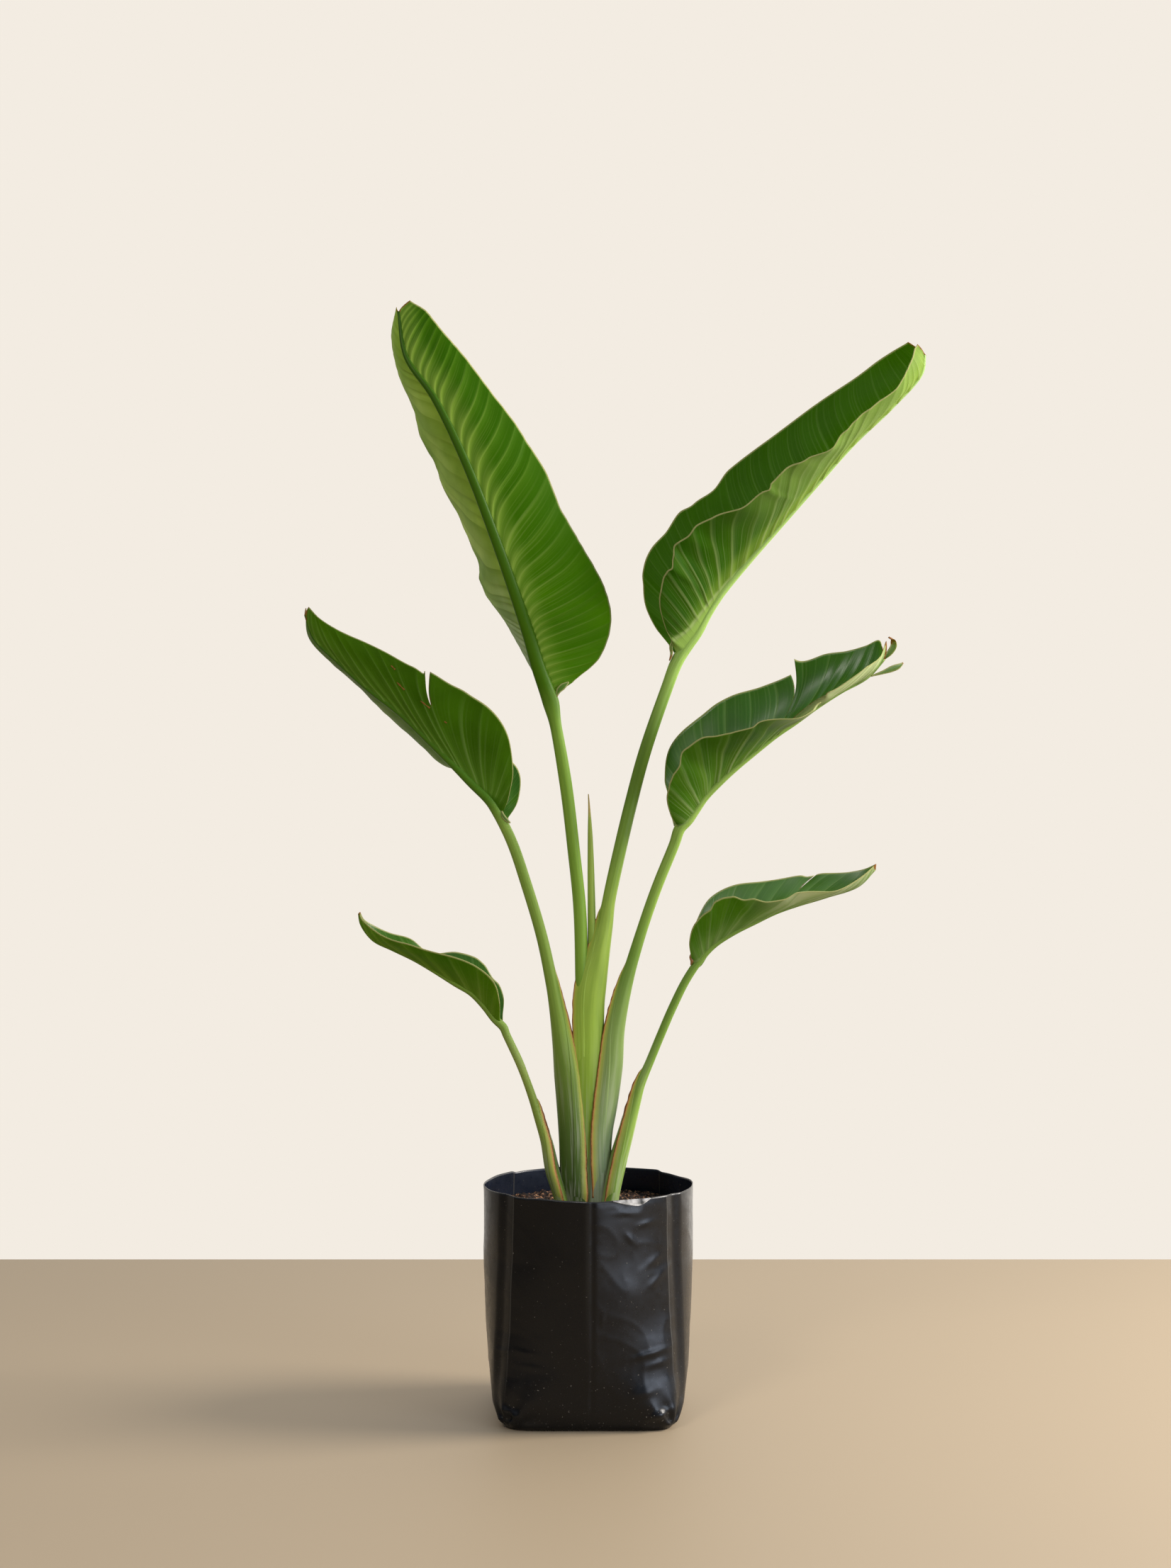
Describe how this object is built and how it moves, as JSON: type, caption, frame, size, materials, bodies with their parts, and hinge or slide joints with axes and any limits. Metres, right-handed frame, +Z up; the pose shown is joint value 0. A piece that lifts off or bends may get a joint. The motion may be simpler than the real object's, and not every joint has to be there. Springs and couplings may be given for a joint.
{
  "type": "potted plant",
  "caption": "Bird of paradise with tall paddle leaves on long sheathed stalks, rooted in potting mix in an open black nursery bag.",
  "frame": {"origin": "on the floor, under the middle of the bag", "axes": "+X to the right and +Z up as pictured, +Y away from the viewer; the leaves stand in a fan across X"},
  "size_m": [0.7387, 0.25, 1.3201],
  "materials": {
    "polythene": "semi-gloss",
    "coir_mix": "rough",
    "root": "matte",
    "young_leaf": "satin",
    "leaf_broad": "satin",
    "leaf_light": "satin",
    "leaf_dark": "satin",
    "leaf_deep": "satin",
    "leaf_small_right": "satin",
    "leaf_small_left": "satin"
  },
  "bodies": {
    "root": {"grow_bag": "polythene", "potting_mix": "coir_mix", "root_crown": "root", "spear_leaf": "young_leaf", "leaf_upper_left": "leaf_broad", "leaf_upper_right": "leaf_light", "leaf_mid_right": "leaf_dark", "leaf_mid_left": "leaf_deep", "leaf_lower_right": "leaf_small_right", "leaf_lower_left": "leaf_small_left"}
  },
  "joints": []
}
